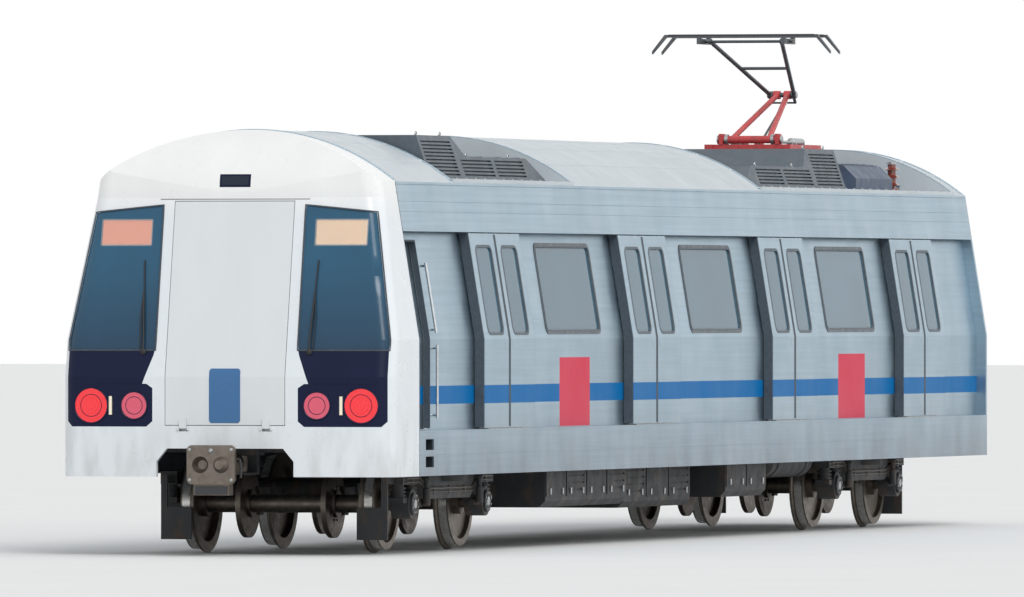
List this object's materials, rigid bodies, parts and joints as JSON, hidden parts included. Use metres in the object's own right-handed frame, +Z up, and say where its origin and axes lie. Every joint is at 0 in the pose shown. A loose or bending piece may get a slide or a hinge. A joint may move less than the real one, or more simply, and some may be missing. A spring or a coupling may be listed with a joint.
{
  "type": "metro train driving car",
  "caption": "Stainless metro driving car with cab front, sliding passenger doors, roof pantograph and bogies.",
  "frame": {"origin": "on the floor under the wheel flanges, on the centreline, halfway between the ends of the couplers", "axes": "+X forward towards the cab, +Y to the left side, +Z up"},
  "size_m": [22.6, 3.2, 5.0888],
  "materials": {
    "stainless": "brushed stainless sheet",
    "mask_white": "moulded glass fibre, gloss white",
    "exit_grey": "moulded glass fibre, pale grey",
    "black_panel": "gloss black",
    "tinted_glass": "tinted safety glass",
    "lamp_red": "red lens",
    "lamp_clear": "clear lens over a red reflector",
    "display": "lit display panel, blank",
    "roof_paint": "pale grey roof paint",
    "unit_grey": "dark grey louvred housing",
    "dark_paint": "dark grey underframe paint",
    "bogie_paint": "dark grey bogie paint",
    "wheel_steel": "rolled steel",
    "rubber_black": "black rubber",
    "floor_vinyl": "grey floor covering",
    "lining_white": "pale lining",
    "bench_steel": "brushed bench sheet",
    "rail_steel": "polished tube",
    "desk_grey": "dark grey desk",
    "seat_cloth": "dark woven cloth",
    "insulator": "red-brown glaze",
    "pan_red": "red paint",
    "pan_alloy": "bare alloy tube",
    "gear_blue": "dark blue-grey paint"
  },
  "bodies": {
    "car_body": {"air_springs": "rubber_black", "bench_seats": "bench_steel", "cab_mask": "mask_white", "cab_partition": "lining_white", "cantrails": "stainless", "ceiling": "lining_white", "destination_displays": "display", "door_rails": "rail_steel", "driver_desk": "desk_grey", "driver_seat": "seat_cloth", "floor": "floor_vinyl", "gangway_bellows": "rubber_black", "grab_rails": "rail_steel", "head_lamps": "lamp_clear", "lamp_housings": "black_panel", "pantograph_base": "pan_red", "pantograph_insulators": "insulator", "rear_coupler": "wheel_steel", "rear_end_wall": "stainless", "roof_ac_units": "unit_grey", "roof_equipment": "gear_blue", "roof_shell": "roof_paint", "roof_wells": "roof_paint", "side_walls_left": "stainless", "side_walls_right": "stainless", "side_windows": "tinted_glass", "sole_bars": "stainless", "tail_lamps": "lamp_red", "underfloor_cases": "dark_paint", "underframe": "dark_paint", "window_frames": "rubber_black", "windscreen_surrounds": "black_panel", "windscreens": "tinted_glass"},
    "emergency_door": {"emergency_door": "exit_grey"},
    "partition_door": {"partition_door": "lining_white"},
    "front_coupler": {"front_coupler": "wheel_steel"},
    "cab_door_left": {"cab_door_left": "stainless", "cab_door_glass_left": "tinted_glass"},
    "cab_door_right": {"cab_door_right": "stainless", "cab_door_glass_right": "tinted_glass"},
    "bogie_front": {"bogie_frame_front": "bogie_paint", "axle_boxes_front": "bogie_paint"},
    "bogie_rear": {"bogie_frame_rear": "bogie_paint", "axle_boxes_rear": "bogie_paint"},
    "wheelset_1": {"wheelset_1": "wheel_steel"},
    "wheelset_2": {"wheelset_2": "wheel_steel"},
    "wheelset_3": {"wheelset_3": "wheel_steel"},
    "wheelset_4": {"wheelset_4": "wheel_steel"},
    "lower_arm": {"lower_arm": "pan_red"},
    "upper_arm": {"upper_arm": "pan_alloy"},
    "pan_head": {"pan_head": "pan_alloy"},
    "coupling_rod": {"coupling_rod": "pan_alloy"},
    "doors_left_fore": {"door_leaves_left_fore": "stainless", "door_glass_left_fore": "tinted_glass"},
    "doors_left_aft": {"door_leaves_left_aft": "stainless", "door_glass_left_aft": "tinted_glass"},
    "doors_right_fore": {"door_leaves_right_fore": "stainless", "door_glass_right_fore": "tinted_glass"},
    "doors_right_aft": {"door_leaves_right_aft": "stainless", "door_glass_right_aft": "tinted_glass"}
  },
  "joints": [
    {"name": "doors_left_fore", "type": "slide", "parent": "car_body", "child": "doors_left_fore", "axis": [1, 0, 0], "range_m": [0, 0.7]},
    {"name": "doors_left_aft", "type": "slide", "parent": "car_body", "child": "doors_left_aft", "axis": [-1, 0, 0], "range_m": [0, 0.7]},
    {"name": "cab_door_left", "type": "slide", "parent": "car_body", "child": "cab_door_left", "axis": [-1, 0, 0], "range_m": [0, 0.6]},
    {"name": "doors_right_fore", "type": "slide", "parent": "car_body", "child": "doors_right_fore", "axis": [1, 0, 0], "range_m": [0, 0.7]},
    {"name": "doors_right_aft", "type": "slide", "parent": "car_body", "child": "doors_right_aft", "axis": [-1, 0, 0], "range_m": [0, 0.7]},
    {"name": "cab_door_right", "type": "slide", "parent": "car_body", "child": "cab_door_right", "axis": [-1, 0, 0], "range_m": [0, 0.6]},
    {"name": "emergency_door", "type": "hinge", "parent": "car_body", "child": "emergency_door", "pos_m": [10.806, 0, 1.188], "axis": [0, 1, 0], "range_deg": [0, 100]},
    {"name": "partition_door", "type": "hinge", "parent": "car_body", "child": "partition_door", "pos_m": [8.616, 0.335, 2.1], "axis": [0, 0, 1], "range_deg": [0, 95]},
    {"name": "front_coupler", "type": "hinge", "parent": "car_body", "child": "front_coupler", "pos_m": [10.35, 0, 0.845], "axis": [0, 0, 1], "range_deg": [-12, 12]},
    {"name": "bogie_front_yaw", "type": "hinge", "parent": "car_body", "child": "bogie_front", "pos_m": [7.55, 0, 0.6], "axis": [0, 0, 1], "range_deg": [-4, 4]},
    {"name": "bogie_rear_yaw", "type": "hinge", "parent": "car_body", "child": "bogie_rear", "pos_m": [-7.55, 0, 0.6], "axis": [0, 0, 1], "range_deg": [-4, 4]},
    {"name": "wheelset_1_spin", "type": "hinge", "parent": "bogie_front", "child": "wheelset_1", "pos_m": [8.75, 0, 0.46], "axis": [0, 1, 0], "continuous": true},
    {"name": "wheelset_2_spin", "type": "hinge", "parent": "bogie_front", "child": "wheelset_2", "pos_m": [6.35, 0, 0.46], "axis": [0, 1, 0], "continuous": true},
    {"name": "wheelset_3_spin", "type": "hinge", "parent": "bogie_rear", "child": "wheelset_3", "pos_m": [-6.35, 0, 0.46], "axis": [0, 1, 0], "continuous": true},
    {"name": "wheelset_4_spin", "type": "hinge", "parent": "bogie_rear", "child": "wheelset_4", "pos_m": [-8.75, 0, 0.46], "axis": [0, 1, 0], "continuous": true},
    {"name": "pantograph_raise", "type": "hinge", "parent": "car_body", "child": "lower_arm", "pos_m": [-7.3, 0, 4.01], "axis": [0, 1, 0], "range_deg": [-17, 15]},
    {"name": "pantograph_knee", "type": "hinge", "parent": "lower_arm", "child": "upper_arm", "pos_m": [-8.55911, 0, 4.48578], "axis": [0, 1, 0], "range_deg": [-30, 34]},
    {"name": "pantograph_head", "type": "hinge", "parent": "upper_arm", "child": "pan_head", "pos_m": [-7.14846, 0, 5.01882], "axis": [0, 1, 0], "range_deg": [-17, 15]},
    {"name": "pantograph_rod", "type": "hinge", "parent": "car_body", "child": "coupling_rod", "pos_m": [-7.65, 0, 3.95], "axis": [0, 1, 0], "range_deg": [-21, 18]}
  ],
  "couplings": [
    {"joint": "doors_left_aft", "follows": "doors_left_fore", "ratio": 1},
    {"joint": "doors_right_aft", "follows": "doors_right_fore", "ratio": 1},
    {"joint": "pantograph_knee", "follows": "pantograph_raise", "ratio": -2},
    {"joint": "pantograph_head", "follows": "pantograph_raise", "ratio": 1},
    {"joint": "pantograph_rod", "follows": "pantograph_raise", "ratio": 1.19}
  ]
}
